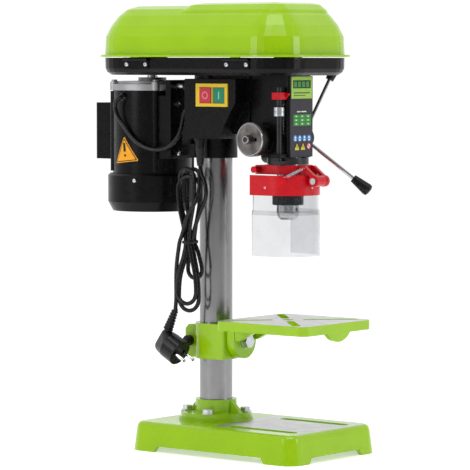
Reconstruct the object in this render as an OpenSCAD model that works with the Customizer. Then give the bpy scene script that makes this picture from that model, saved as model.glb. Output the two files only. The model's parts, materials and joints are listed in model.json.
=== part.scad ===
// Small bench drill press: cast base, round column, tilting table, belt-driven head.
// All places below are measured from the column axis: +X is the operator's right,
// -Y is the front, +Z is up, and Z = 0 is the bench.

/* [Stand] */
// Width of the base casting
base_w = 196; // [170:1:230]
// Reach of the base in front of the column axis
base_front = 211; // [190:1:240]
// Reach of the base behind the column axis
base_back = 79; // [70:1:100]
// Height of the base casting
base_h = 40; // [34:1:48]
// Outer diameter of the column
column_d = 46; // [44:0.5:48]

/* [Head] */
// Distance from the column axis to the spindle axis
throat = 127; // [120:1:140]
// Height of the head casting's lower face
head_z0 = 409; // [405:1:412]
// Height of the head casting's upper face
head_z1 = 521; // [519:1:522]
// Travel of the quill
quill_travel = 50; // [30:1:50]

/* [Belt cover] */
// Width of the pulley pan
pan_w = 176; // [170:1:182]
// Reach of the pan in front of the column axis
pan_front = 184; // [182:1:192]
// Reach of the pan behind the column axis
pan_back = 157; // [156:1:170]
// Height of the cover's rim
rim_z = 546; // [545.5:0.5:548]
// Height of the cover's top
cover_top = 620; // [616:1:626]
// Step radii of the motor pulley, from the bottom up
motor_steps = [34, 30, 26, 22, 18];
// Step radii of the spindle pulley, from the bottom up
spindle_steps = [24, 28, 32, 36, 40];
// Step that the belt runs on, counted from the bottom
belt_step = 2; // [2:1:2]

/* [Motor] */
// Distance from the column axis to the motor shaft
motor_y = 116.5; // [114:0.5:118]
// Outer radius of the motor housing
motor_r = 56; // [50:1:57]

/* [Table] */
// Side of the square table
table_w = 155; // [140:1:165]
// Reach of the table in front of the column axis
table_front = 215; // [205:1:220]
// Height of the table's working face
table_z = 186; // [184:1:188]
// Width of the table's clamping slots
table_slot = 12; // [10:1:13]

/* [Hidden] */
$fn = 64;
fit = 0.05;                         // radial running clearance
col_x = -12;                        // column axis in the part's frame, which
col_y = 6;                          // has its origin under the middle of the machine
col_r = column_d / 2;
spin_y = -throat;                   // spindle axis
pad_z = base_h + 4;                 // top of the round pad under the column
flange_z = pad_z + 7;
flange_r = 50;
bolt_xy = 30;                       // column flange bolts, each way
bolt_turn = -22;
base_slot_x = 57;
base_slot_y = [-187, -72];
base_slot_w = 14;

front_y = -149;                     // front face of the head casting
side_x = 25;                        // half width of the quill housing
socket_r = 30;
socket_z = 406;
bar_x = 32;                         // motor slide bars
bar_z = 506;
bar_r = 5.5;
box_x = -54;                        // outer face of the switch box
pinion_y = spin_y + 26;
pinion_z = 434;
boss_r = 20;
boss_x = [-38, 40];

quill_r = 20;
quill_z = [388, 488];
spindle_r = 7.5;
spline_r = 6.8;
sleeve_r = 10;
sleeve_z = 497;
bearing_r = 21;                     // sleeve bearings
quill_bearing_r = 16;
pulley_z = 528;
step_h = 13;

gear_m = 1.25;                      // feed pinion and rack
gear_n = 14;
gear_r = gear_m * gear_n / 2;
rack_x = 6.5;                       // half width of the pinion's toothed part

chuck_z = [325, 386];
jaw_tilt = 12;
jaw_r = 3.2;
jaw_grip = 3.5;                     // radius held between the jaws at rest
jaw_face = 12;                      // length of a jaw's gripping face
jaw_axis = jaw_grip + jaw_r - jaw_face * tan(jaw_tilt);  // jaw axis at the chuck's mouth

stop_x = -34;                       // depth stop rod
stop_y = spin_y - 11;
guard_r = 44;
guard_back = 32;
hinge_y = spin_y - 54;              // guard hinge
hinge_z = 378;

tilt_z = 152;
table_back = table_front - table_w;
bracket_r = 29;
bracket_z = [126, 176];

hinge_x = -91.2;                    // cover hinge line
cover_hinge_z = 543;
cover_hinge_y = [-108, 70];

// Route of the mains lead from its gland to the hank, and from the hank to the plug
lead_d = 5.8;
lead_route = [[-46, -9.5, 396], [-46, -10, 390], [-46.5, -13, 382], [-47, -18, 374],
    [-48, -21, 365], [-48, -21.5, 356], [-48, -19, 347], [-48, -14.5, 339],
    [-48, -10, 331], [-48, -6, 322], [-48, -2, 312]];
tail_route = [[-60, 4, 320], [-60, 9, 308], [-58.5, 14, 298], [-57.5, 18, 291], [-55.5, 22.5, 277],
    [-54, 26, 263], [-52.5, 28.5, 250], [-52, 29.3, 237], [-52, 29.3, 224], [-52, 29.2, 211],
    [-52, 30, 202], [-52, 30.7, 195]];
hank_x = -48;
hank_t = 18;
hank_top = [10.5, 376, 18.5];       // y, z and radius of the upper end
hank_foot = [9, 212, 20.5];
hank_waist = [1, 13.4];
// Route of the motor's own lead, from the motor to the head
whip_route = [[-55, 121.5, 490], [-62, 122.5, 489.5], [-64.5, 128, 484.5], [-63.5, 131, 476], [-62.5, 128, 464.5],
    [-61.5, 122, 455], [-61.5, 114, 446], [-61, 104, 435], [-59.5, 93, 426], [-57, 81, 420],
    [-54.5, 68, 417], [-52.5, 55, 418], [-50, 42, 423], [-46, 33, 433], [-42.5, 28.5, 445],
    [-41, 26.5, 457], [-41, 24, 468], [-41, 19, 474], [-41, 12, 476]];
whip_d = 6;

green = [0.55, 0.78, 0.10];
black = [0.08, 0.08, 0.09];
steel = [0.72, 0.73, 0.75];
dark_steel = [0.30, 0.31, 0.33];
red = [0.80, 0.08, 0.10];
clear = [0.80, 0.86, 0.90, 0.45];

// ---------------------------------------------------------------- helpers

// Moves a piece from the column's own axes into the part's frame
module placed() {
    translate([col_x, col_y, 0]) children();
}

// Solid cylinder between two heights
module rod(r, z0, z1) {
    translate([0, 0, z0]) cylinder(r = r, h = z1 - z0);
}

// Cylinder along X between two places
module rod_x(r, x0, x1, y, z) {
    translate([x0, y, z]) rotate([0, 90, 0]) cylinder(r = r, h = x1 - x0);
}

// Cylinder along Y between two places
module rod_y(r, y0, y1, x, z) {
    translate([x, y1, z]) rotate([90, 0, 0]) cylinder(r = r, h = y1 - y0);
}

// Box between two corners
module box(a, b) {
    translate(a) cube(b - a);
}

// Hexagonal prism across flats, standing on z0
module hex(flats, z0, z1) {
    translate([0, 0, z0]) cylinder(r = flats / sqrt(3), h = z1 - z0, $fn = 6);
}

// Flat rectangle with round corners, reaching from y0 to y1
module round_rect(w, y0, y1, r) {
    for (x = [r - w / 2, w / 2 - r], y = [y0 + r, y1 - r])
        translate([x, y]) circle(r = r);
    translate([r - w / 2, y0]) square([w - 2 * r, y1 - y0]);
    translate([-w / 2, y0 + r]) square([w, y1 - y0 - 2 * r]);
}

// Thin slab of the same outline, drawn in by inset, used inside hull()
module slab(w, y0, y1, r, inset, z) {
    for (x = [r - w / 2, w / 2 - r], y = [y0 + r, y1 - r])
        translate([x, y, z]) cylinder(r = r - inset, h = 0.01, $fn = 32);
}

// Outline drawn in the Y-Z plane and pushed along X
module side_plate(x0, x1, points) {
    translate([x0, 0, 0]) rotate([90, 0, 90]) linear_extrude(x1 - x0) polygon(points);
}

// Closed tube swept along a list of points, its rings carried on without twist
function unit(v) = v / norm(v);
function route_dir(p, i) = unit(p[min(i + 1, len(p) - 1)] - p[max(i - 1, 0)]);
function across(v, t) = unit(v - (v * t) * t);
function side_dirs(p, first) =
    [for (i = 0, a = across(first, route_dir(p, 0)); i < len(p);
        i = i + 1, a = across(a, route_dir(p, min(i, len(p) - 1)))) a];
function ring(c, t, a, r, n) =
    let (b = cross(t, a)) [for (k = [0 : n - 1]) c + r * cos(360 * k / n) * a + r * sin(360 * k / n) * b];
module tube(p, r, n = 10, first = [0.1, 0.3, 1]) {
    m = len(p);
    sides = side_dirs(p, first);
    points = [for (i = [0 : m - 1]) each ring(p[i], route_dir(p, i), sides[i], r, n)];
    walls = [for (i = [0 : m - 2], k = [0 : n - 1])
        [i * n + k, (i + 1) * n + k, (i + 1) * n + (k + 1) % n, i * n + (k + 1) % n]];
    start = [for (k = [0 : n - 1]) k];
    end = [for (k = [n - 1 : -1 : 0]) (m - 1) * n + k];
    polyhedron(points, concat(walls, [start, end]), convexity = 6);
}

// U-shaped wall that is open at the back: round in front, straight at the sides
module u_outline(r, back) {
    intersection() {
        circle(r = r);
        translate([-r, -r]) square([2 * r, r + 1]);
    }
    translate([-r, 0]) square([2 * r, back]);
}
module u_wall(r_out, r_in, back, z0, z1) {
    translate([0, spin_y, z0]) linear_extrude(z1 - z0) difference() {
        u_outline(r_out, back);
        u_outline(r_in, back + 1);
    }
}

// ---------------------------------------------------------------- stand

module foot_arch(length) {
    polygon([[-length / 2 - 6, -1], [length / 2 + 6, -1], [length / 2, 8], [-length / 2, 8]]);
}

module base_slot(x, extra, z0, z1) {
    r = base_slot_w / 2 + extra;
    translate([x, 0, z0]) linear_extrude(z1 - z0) {
        for (y = [base_slot_y[0] + r - extra, base_slot_y[1] - r + extra])
            translate([0, y]) circle(r = r);
        translate([-r, base_slot_y[0] + r - extra])
            square([2 * r, base_slot_y[1] - base_slot_y[0] - 2 * r + 2 * extra]);
    }
}

module base_casting() placed() color(green) {
    difference() {
        union() {
            difference() {
                hull() {
                    slab(base_w, -base_front, base_back, 22, 0, 0);
                    slab(base_w, -base_front, base_back, 22, 4, base_h - 9);
                    slab(base_w, -base_front, base_back, 22, 5.5, base_h - 4);
                    slab(base_w, -base_front, base_back, 22, 8, base_h - 1.2);
                    slab(base_w, -base_front, base_back, 22, 11, base_h - 0.01);
                }
                hull() {
                    slab(base_w - 12, 6 - base_front, base_back - 6, 18, 0, -1);
                    slab(base_w - 12, 6 - base_front, base_back - 6, 18, 6, base_h - 8);
                }
            }
            rod(52, base_h - 8.5, pad_z);
            for (x = [-base_slot_x, base_slot_x])
                base_slot(x, 5, base_h - 18, base_h - 7);
        }
        for (x = [-base_slot_x, base_slot_x])
            base_slot(x, 0, -1, base_h + 1);
        rotate(bolt_turn) for (x = [-bolt_xy, bolt_xy], y = [-bolt_xy, bolt_xy])
            translate([x, y, 0]) rod(4.25, base_h - 12, pad_z + 1);
        translate([-base_w, (33 - 162) / 2, 0]) rotate([90, 0, 90])
            linear_extrude(2 * base_w) foot_arch(183);
        translate([0, base_back + base_w, 0]) rotate([90, 0, 0])
            linear_extrude(2 * base_w + base_front + base_back) foot_arch(108);
    }
}

module column_flange() placed() color(green) {
    difference() {
        union() {
            rod(flange_r, pad_z, flange_z);
            rod(29, pad_z, flange_z + 18);
            for (a = [0, 180])
                rotate([0, 0, a]) translate([-3.5, 0, 0])
                    side_plate(0, 7, [[-46, flange_z - 1], [-24, flange_z - 1], [-24, flange_z + 17],
                        [-29, flange_z + 17]]);
        }
        rod(col_r + fit, pad_z - 1, flange_z + 20);
        rotate(bolt_turn) for (x = [-bolt_xy, bolt_xy], y = [-bolt_xy, bolt_xy])
            translate([x, y, 0]) rod(4.25, pad_z - 1, flange_z + 1);
        rotate([0, 0, 40]) rod_x(3.05, col_r - 1, 40, 0, flange_z + 9);
    }
}

module flange_bolts() placed() color(dark_steel) {
    rotate(bolt_turn) for (x = [-bolt_xy, bolt_xy], y = [-bolt_xy, bolt_xy]) translate([x, y, 0]) {
        rod(4, base_h - 14, flange_z);
        rod(8, flange_z, flange_z + 1.5);
        hex(13, flange_z + 1.5, flange_z + 7);
        hex(13, base_h - 15, base_h - 8.5);
    }
    rotate([0, 0, 40]) rod_x(3, col_r + 0.1, 33, 0, flange_z + 9);
}

module column_tube() placed() color(steel) {
    difference() {
        rod(col_r, pad_z, head_z1 - 6);
        rod(col_r - 3, pad_z - 1, head_z1);
    }
}

// ---------------------------------------------------------------- head

module head_body() {
    rod(socket_r, socket_z, head_z1);
    box([-28, -82, 440], [28, -18, head_z1]);
    translate([0, 0, head_z0]) linear_extrude(head_z1 - head_z0) {
        round_rect(2 * side_x, front_y, spin_y + 30, 5);
    }
    box([-side_x, spin_y + 15, pinion_z - 22], [side_x, -70, head_z1]);
    rod_x(boss_r, boss_x[0], boss_x[1], pinion_y, pinion_z);
    for (x = [-bar_x, bar_x])
        rod_y(9, -44, 27, x, bar_z);
    box([-bar_x, -44, bar_z - 9], [bar_x, 20, bar_z + 9]);
    side_plate(box_x, -22, [[12, 516], [-78, 516], [-78, 484], [-60, 456], [-50, 434], [6, 434], [12, 440]]);
    side_plate(22, 34, [[12, 516], [-78, 516], [-78, 492], [-40, 446], [-20, 436], [6, 436], [12, 442]]);
    box([stop_x - 8, stop_y - 8, head_z0], [-side_x + 3, stop_y + 8, head_z0 + 5.5]);
}

module head_casting() placed() color(black) {
    difference() {
        head_body();
        rod(col_r + fit, socket_z - 1, head_z1 - 6);
        translate([0, spin_y, 0]) {
            rod(quill_r + fit, head_z0 - 1, sleeve_z - 1.5);
            rod(bearing_r, sleeve_z - 1.5, head_z1 + 1);
        }
        // pinion bore, and the pocket where its teeth meet the rack
        rod_x(7 + fit, boss_x[0] - 1, boss_x[1] + 1, pinion_y, pinion_z);
        rod_x(gear_r + 2.2, -rack_x - 2, rack_x + 2, pinion_y, pinion_z);
        for (x = [-bar_x, bar_x])
            rod_y(bar_r + fit, -40, 30, x, bar_z);
        // tension lock screw, depth rod, switch cavity and gland
        rod_x(3 + fit, bar_x, 50, 10, bar_z);
        translate([stop_x, stop_y, 0]) rod(4.6, head_z0 - 1, head_z0 + 7);
        box([box_x - 1, -64.5, 478.5], [-42, -10.5, 509]);
        translate([-46, -9.5, 0]) rod(3.4, 433, 479);
        box([-49, -11, 470], [-43, 11, 480]);
        box([-46, 7, 468], [-36, 13, 480]);
        // lightening pockets between the column and the quill
        box([-22, -74, 430], [22, -34, 512]);
        box([28, -66, 452], [36, -30, 488]);
    }
}

module front_panel() placed() color([0.2, 0.2, 0.22]) {
    box([-24.5, front_y - 1.6, head_z0 + 1], [24.5, front_y, head_z1 - 1]);
}

module depth_scale() placed() color(steel) {
    box([-side_x - 1, front_y + 5, 438], [-side_x, front_y + 11, 486]);
}

module bearing_ring(r_out, r_in, z0, h) {
    rotate_extrude() polygon([[r_in, z0], [r_out, z0], [r_out, z0 + h], [r_in, z0 + h]]);
}

module sleeve_bearings() placed() color(steel) {
    translate([0, spin_y, 0]) {
        bearing_ring(bearing_r, sleeve_r + fit, sleeve_z, 11);
        bearing_ring(bearing_r, sleeve_r + fit, sleeve_z + 12, 11);
    }
}

// ---------------------------------------------------------------- belt drive

module pulley_pan() placed() color(black) {
    difference() {
        hull() {
            slab(pan_w, -pan_front, pan_back, 53, 9, head_z1);
            slab(pan_w, -pan_front, pan_back, 53, 3, head_z1 + 4);
            slab(pan_w, -pan_front, pan_back, 53, 0.5, head_z1 + 9);
            slab(pan_w, -pan_front, pan_back, 53, 0, rim_z - 1.2);
        }
        hull() {
            slab(pan_w, -pan_front, pan_back, 53, 10.5, head_z1 + 2);
            slab(pan_w, -pan_front, pan_back, 53, 2, head_z1 + 10);
            slab(pan_w, -pan_front, pan_back, 53, 2, rim_z);
        }
        translate([0, spin_y, 0]) rod(16, head_z1 - 1, head_z1 + 4);
        // slot that the motor shaft moves along
        translate([0, 0, head_z1 - 1]) linear_extrude(5) {
            translate([0, motor_y - 12]) circle(r = 13);
            translate([0, motor_y + 3]) circle(r = 13);
            translate([-13, motor_y - 12]) square([26, 15]);
        }
    }
}

module knuckle(y0, y1) {
    rod_y(2.3, y0, y1, hinge_x, cover_hinge_z);
}

module cover_hinges() placed() color(black) {
    for (y = cover_hinge_y) {
        difference() {
            union() {
                box([-89.2, y - 22, 529], [-88, y + 22, 541]);
                for (s = [-1, 1]) translate([0, s * 15 + y, 0]) {
                    knuckle(-7, 7);
                    box([hinge_x, -7, cover_hinge_z - 2.3], [-88, 7, cover_hinge_z - 1]);
                }
            }
            rod_y(1.2, y - 23, y + 23, hinge_x, cover_hinge_z);
        }
        rod_y(1.2, y - 22, y + 22, hinge_x, cover_hinge_z);
    }
}

// Outer form of the cover, drawn in by inset; the front part stands a little higher
module cover_shell(inset, drop) {
    low = rim_z - (inset > 0 ? 1 : 0);
    w = pan_w + 1;
    hull() {
        slab(w, -pan_front, pan_back, 53, inset, low);
        slab(w, -pan_front, pan_back, 53, inset + 1.5, rim_z + 28 - drop);
        slab(w, -pan_front, pan_back, 53, inset + 9, rim_z + 43 - drop);
        slab(w, -pan_front, pan_back, 53, inset + 20, rim_z + 57 - drop);
        slab(w, -pan_front, pan_back, 53, inset + 31, rim_z + 66 - drop);
        slab(w, -pan_front, pan_back, 53, inset + 46, cover_top - 3.5 - drop);
    }
    hull() {
        slab(w, -pan_front, 58, 53, inset + 21, rim_z + 55 - drop);
        slab(w, -pan_front, 52, 53, inset + 25, rim_z + 64 - drop);
        slab(w, -pan_front, 44, 53, inset + 34, rim_z + 71.5 - drop);
        slab(w, -pan_front, 34, 53, inset + 46, cover_top - drop - 0.01);
    }
}

module belt_cover() placed() color(green) {
    difference() {
        union() {
            cover_shell(0, 0);
            translate([0, 0, rim_z]) linear_extrude(3)
                round_rect(pan_w + 13, -pan_front - 8, pan_back + 6, 59);
        }
        cover_shell(1.8, 2);
    }
    difference() {
        for (y = cover_hinge_y) {
            knuckle(y - 7.7, y + 7.7);
            box([hinge_x - 1.5, y - 7.7, cover_hinge_z], [hinge_x + 1.5, y + 7.7, rim_z + 1]);
        }
        for (y = cover_hinge_y)
            rod_y(1.2 + fit, y - 9, y + 9, hinge_x, cover_hinge_z);
    }
}

// Step pulley with V-grooves, as a turned outline
function groove(r, z) = [[r, z + 0.6], [r, z + step_h / 2 - 5.6], [r - 8.4, z + step_h / 2 - 2.9],
    [r - 8.4, z + step_h / 2 + 2.9], [r, z + step_h / 2 + 5.6], [r, z + step_h - 0.6]];
module step_pulley(steps, bore) {
    rotate_extrude() polygon(concat([[bore, pulley_z]],
        [for (i = [0 : len(steps) - 1]) each groove(steps[i], pulley_z + i * step_h)],
        [[bore, pulley_z + step_h * len(steps)]]));
}

module spline(r, grow) {
    circle(r = r - 1.2 + grow);
    for (a = [0 : 60 : 300])
        rotate(a) translate([0, -1.5 - grow]) square([r + grow, 3 + 2 * grow]);
}

module spindle_pulley() placed() color(steel) {
    translate([0, spin_y, 0]) {
        difference() {
            union() {
                step_pulley(spindle_steps, 5);
                rod(sleeve_r, sleeve_z, pulley_z + 1);
                rod(13, pulley_z + step_h * 5 - 1, pulley_z + step_h * 5 + 5);
            }
            translate([0, 0, sleeve_z - 1]) linear_extrude(110) spline(spline_r, 0.08);
        }
    }
}

module motor_pulley() placed() color(steel) {
    translate([0, motor_y, 0]) {
        step_pulley(motor_steps, 7);
        difference() {
            rod(12, pulley_z + step_h * 5 - 0.01, pulley_z + step_h * 5 + 6);
            rod(7, pulley_z, pulley_z + 80);
        }
    }
}

// Trapezoid section of the belt at radius r
function belt_section(r, z) = [[r - 6.6, z - 2.9], [r + 0.6, z - 5.1], [r + 0.6, z + 5.1], [r - 6.6, z + 2.9]];
module v_belt() placed() color([0.05, 0.05, 0.05]) {
    r1 = motor_steps[belt_step];
    r2 = spindle_steps[belt_step];
    span = motor_y - spin_y;
    lean = asin((r2 - r1) / span);
    z = pulley_z + (belt_step + 0.5) * step_h;
    translate([0, motor_y, 0]) rotate([0, 0, lean])
        rotate_extrude(angle = 180 - 2 * lean) polygon(belt_section(r1, z));
    translate([0, spin_y, 0]) rotate([0, 0, 180 - lean])
        rotate_extrude(angle = 180 + 2 * lean) polygon(belt_section(r2, z));
    for (s = [0, 1]) mirror([s, 0, 0])
        translate([0, spin_y, 0]) rotate([0, 0, lean]) translate([0, -0.3, 0])
            rotate([90, 0, 180]) mirror([1, 0, 0])
                linear_extrude(span * cos(lean) + 0.6) polygon(belt_section(r2, z));
}

// ---------------------------------------------------------------- motor

module at_motor() {
    placed() translate([0, motor_y, 0]) children();
}

module motor_housing() at_motor() color(black) {
    difference() {
        union() {
            rod(motor_r, 381, 499);
            box([-38, -63, 404], [38, -42, 492]);
            for (a = [45 : 90 : 315])
                rotate([0, 0, a]) translate([motor_r - 1.5, 0, 0]) rod(5, 385, 498);
        }
        rod(motor_r - 5, 386, 500);
        rod(8.5, 380, 387);
        for (x = [-30, 30], z = [414, 482])
            rod_y(3.05, -64, -47, x, z);
    }
}

module motor_top_bell() at_motor() color([0.45, 0.46, 0.48]) {
    difference() {
        union() {
            rod(motor_r, 499, 508);
            rod(motor_r - 6, 507, 512);
            rod(20, 511, 517);
            for (a = [45 : 90 : 315])
                rotate([0, 0, a]) translate([motor_r - 2, 0, 0]) {
                    rod(6, 499, 511);
                    rod(4, 511, 514);
                }
        }
        rod(motor_r - 6, 498, 503);
        rod(8 + fit, 500, 520);
    }
}

module motor_fan_cover() at_motor() color(black) {
    difference() {
        rotate_extrude() polygon([[0, 329], [56, 329], [63, 342], [63, 379], [60, 382], [57.2, 382],
            [57.2, 376], [61, 376], [61, 343], [55, 331.2], [0, 331.2]]);
        for (r = [16 : 9 : 52], a = [0 : 30 : 330])
            rotate([0, 0, a + r * 5]) translate([r, 0, 328]) cylinder(r = 2.6, h = 5);
        for (a = [76.7 : 120 : 320])
            rotate([0, 0, a]) rod_x(1.6, 50, 70, 0, 373);
    }
    for (a = [0 : 90 : 270])
        rotate([0, 0, a]) box([motor_r + 0.01, -5, 376.5], [58, 5, 382]);
}

module motor_stator() at_motor() color([0.5, 0.42, 0.35]) {
    difference() {
        rod(motor_r - 5, 402, 472);
        rod(31, 401, 473);
        for (a = [0 : 30 : 330])
            rotate([0, 0, a]) box([30, -3.5, 401], [41, 3.5, 473]);
    }
}

module capacitor_box() at_motor() color(black) {
    difference() {
        translate([0, 0, 401]) linear_extrude(80) round_rect(46, motor_r - 8, motor_r + 32, 5);
        rod(motor_r, 400, 482);
        translate([0, 0, 403]) linear_extrude(76) round_rect(42, motor_r + 1, motor_r + 30, 4);
    }
}

module motor_plate() placed() color(black) {
    difference() {
        union() {
            box([-46, 44, 408], [46, 52, 488]);
            box([-46, 44, 486], [46, 53, 514]);
            for (x = [-30, 30], z = [414, 482])
                rod_y(8, 51, 53.5, x, z);
        }
        for (x = [-bar_x, bar_x])
            rod_y(bar_r, 43, 54, x, bar_z);
        for (x = [-30, 30], z = [414, 482])
            rod_y(3.05, 43, 55, x, z);
        box([-20, 43, 424], [20, 55, 472]);
    }
}

module slide_bars() placed() color(steel) {
    for (x = [-bar_x, bar_x]) {
        rod_y(bar_r, -26, 57, x, bar_z);
        translate([x, 57, bar_z]) rotate([-90, 0, 0]) hex(9, 0, 3);
    }
    for (x = [-30, 30], z = [414, 482]) {
        rod_y(3, 38, 66, x, z);
        translate([x, 44, z]) rotate([90, 0, 0]) hex(10, 0, 5);
    }
}

module motor_rotor() at_motor() color(steel) {
    rod(8, 390, 519);
    rod(7, 340, 391);
    rod(7, 518, 598);
    rod(29.5, 402, 472);
}

module motor_fan() at_motor() color([0.15, 0.15, 0.16]) {
    difference() {
        union() {
            rod(14, 346, 370);
            rod(48, 368, 371);
            for (a = [0 : 45 : 315])
                rotate([0, 0, a]) box([10, -1.2, 348], [48, 1.2, 369]);
        }
        rod(7, 340, 380);
    }
}

module motor_lead() placed() color(black) {
    tube(whip_route, whip_d / 2, 10);
    translate([-55.4, 121.5, 490]) sphere(r = 6.4);
}

module tension_lock_screw() placed() color(dark_steel) {
    rod_x(3, bar_x + bar_r + 0.4, 52, 10, bar_z);
    rod_x(6, 44, 52, 10, bar_z);
    box([50, 10 - 12, bar_z - 2], [54, 10 + 12, bar_z + 2]);
}

// ---------------------------------------------------------------- switch

module switch_frame() placed() color([0.95, 0.8, 0.1]) {
    difference() {
        union() {
            box([box_x - 2, -65.5, 478], [box_x, -9.5, 509.6]);
            box([box_x - 1, -64.2, 478.8], [-42.3, -10.8, 508.7]);
        }
        box([box_x - 3, -37.5, 482.5], [-45, -16.5, 504.5]);
        box([box_x - 3, -60.5, 482.5], [-45, -39.5, 504.5]);
    }
}

module push_button(y0, y1, proud) {
    box([box_x - proud, y0, 483.1], [-49.5, y1, 503.9]);
}

module stop_button() placed() color(red) push_button(-36.9, -17.1, 3.2);

module start_button() placed() color([0.1, 0.55, 0.35]) push_button(-59.9, -40.1, 1.6);

// ---------------------------------------------------------------- quill, spindle and chuck

// Involute tooth flanks of the feed pinion, with a little backlash
pressure = 20;
function involute(rb, a) = rb * [cos(a) + a * PI / 180 * sin(a), sin(a) - a * PI / 180 * cos(a)];
function turn(p, a) = [p[0] * cos(a) - p[1] * sin(a), p[0] * sin(a) + p[1] * cos(a)];
function roll_angle(rb, r) = sqrt(max(0, r * r / (rb * rb) - 1)) * 180 / PI;
module gear_outline() {
    rb = gear_r * cos(pressure);
    r_tip = gear_r + 0.85 * gear_m;
    r_root = gear_r - 1.3 * gear_m;
    t = roll_angle(rb, gear_r);
    p = involute(rb, t);
    half = 90 / gear_n - 1.3 + atan2(p[1], p[0]);
    flank = [for (k = [0 : 4]) involute(rb, roll_angle(rb, rb + (r_tip - rb) * k / 4))];
    circle(r = r_root);
    for (i = [0 : gear_n - 1]) rotate(i * 360 / gear_n)
        polygon(concat([[r_root * 0.7, -0.9]], [for (q = flank) turn(q, -half)],
            [for (k = [4 : -1 : 0]) turn([flank[k][0], -flank[k][1]], half)], [[r_root * 0.7, 0.9]]));
}

pitch_z = PI * gear_m;
rack_line = pinion_y - gear_r - spin_y;      // pitch line of the rack, from the spindle axis
module rack_gap() {
    tip = 0.95 * gear_m;
    root = 1.1 * gear_m;
    half = pitch_z / 4 + 0.14;
    polygon([[rack_line + tip + 2, half + (tip + 2) * tan(pressure)],
        [rack_line - root, half - root * tan(pressure)],
        [rack_line - root, -half + root * tan(pressure)],
        [rack_line + tip + 2, -half - (tip + 2) * tan(pressure)]]);
}

module quill() placed() color(steel) translate([0, spin_y, 0]) {
    difference() {
        rod(quill_r, quill_z[0], quill_z[1]);
        rod(quill_bearing_r, quill_z[0] - 1, quill_z[0] + 10);
        rod(quill_bearing_r, quill_z[1] - 10, quill_z[1] + 1);
        rod(10, quill_z[0], quill_z[1]);
        box([-rack_x - 1, rack_line + 0.95 * gear_m, quill_z[0] + 28], [rack_x + 1, 22, quill_z[1] + 1]);
        for (i = [-9 : 14]) if (pinion_z + i * pitch_z > quill_z[0] + 30
                && pinion_z + i * pitch_z < quill_z[1] + 2)
            translate([-rack_x - 1, 0, pinion_z + i * pitch_z])
                rotate([90, 0, 90]) linear_extrude(2 * rack_x + 2) rack_gap();
    }
}

module quill_bearings() placed() color(steel) translate([0, spin_y, 0]) {
    bearing_ring(quill_bearing_r, spindle_r + fit, quill_z[0] + 0.5, 9);
    bearing_ring(quill_bearing_r, spindle_r + fit, quill_z[1] - 9.5, 9);
}

module spindle() placed() color(steel) translate([0, spin_y, 0]) {
    rod(spindle_r, quill_z[0] - 0.5, quill_z[1] + 3);
    rod(7, 374, quill_z[0]);
    translate([0, 0, quill_z[1] + 3]) linear_extrude(97) spline(spline_r, 0);
}

// Everything that one jaw needs, along its own sloping axis
module on_jaw(k) {
    rotate([0, 0, 90 + 120 * k]) translate([jaw_axis, 0, chuck_z[0]]) rotate([0, jaw_tilt, 0]) children();
}

module chuck_body() placed() color([0.5, 0.51, 0.53]) translate([0, spin_y, 0]) {
    difference() {
        rotate_extrude() polygon([[0, 324], [11, 324], [13.5, 327], [15.5, 333], [15.5, 350], [17.9, 350],
            [17.9, 378.4], [15.5, 378.4], [15.5, 386], [0, 386]]);
        rod(7, 374, 387);
        rod(6.7, 323, 370);
        for (k = [0 : 2])
            on_jaw(k) translate([0, 0, -6]) cylinder(r = jaw_r + 0.1, h = 49);
        for (k = [0 : 2])
            rotate([0, 0, 30 + 120 * k]) rod_x(2.6, 10, 17, 0, 338);
    }
}

module chuck_sleeve() placed() color(dark_steel) translate([0, spin_y, 0]) {
    difference() {
        rotate_extrude() polygon([[18, 344], [20.6, 344], [21.5, 345], [21.5, 377], [20.5, 378], [18, 378]]);
        for (a = [0 : 15 : 345])
            rotate([0, 0, a]) rod_x(1.25, 17, 23, 0, 343.9);
        for (a = [0 : 10 : 350])
            rotate([0, 0, a]) translate([21.9, 0, 0]) rod(0.8, 352, 374);
    }
}

module jaw(k) placed() color(steel) translate([0, spin_y, 0]) {
    difference() {
        intersection() {
            on_jaw(k) cylinder(r = jaw_r, h = 28);
            rotate([0, 0, 90 + 120 * k]) translate([jaw_grip - 0.95, 0, 320]) linear_extrude(60)
                polygon([[0, 0], [15, 15 * sqrt(3)], [30, 0], [15, -15 * sqrt(3)]]);
            rod(17.5, chuck_z[0], 370);
        }
        rod(jaw_grip, chuck_z[0] - 1, chuck_z[0] + 14);
    }
}

module chuck_jaw_1() jaw(0);
module chuck_jaw_2() jaw(1);
module chuck_jaw_3() jaw(2);

// ---------------------------------------------------------------- feed

hub_x = 41;
lever_x = 67;
lever_angles = [-43, 77, 197];
lever_splay = 24;

module pinion_shaft() placed() color(steel) {
    rod_x(7, boss_x[0] + 0.3, hub_x + 22, pinion_y, pinion_z);
    translate([-rack_x, pinion_y, pinion_z]) rotate([90, 0, 90])
        linear_extrude(2 * rack_x) gear_outline();
    rod_x(4, -62, boss_x[0] + 1, pinion_y, pinion_z);
}

// Along one lever, starting at the hub
module on_lever(a) {
    translate([lever_x, pinion_y, pinion_z]) rotate([-a, 0, 0])
        rotate([0, 0, lever_splay]) rotate([90, 0, 0]) children();
}

module feed_hub() placed() color(dark_steel) {
    difference() {
        union() {
            rod_x(12, hub_x, lever_x + 8, pinion_y, pinion_z);
            rod_x(13.2, lever_x - 10, lever_x + 9, pinion_y, pinion_z);
            rod_x(8, lever_x + 7, lever_x + 13, pinion_y, pinion_z);
        }
        rod_x(7, hub_x - 1, hub_x + 22, pinion_y, pinion_z);
        for (a = lever_angles)
            on_lever(a) translate([0, 0, 9]) cylinder(r = 3, h = 20);
    }
}

module feed_levers() placed() color([0.85, 0.86, 0.88]) {
    for (a = lever_angles)
        on_lever(a) translate([0, 0, 9]) cylinder(r = 3, h = 87);
}

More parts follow.
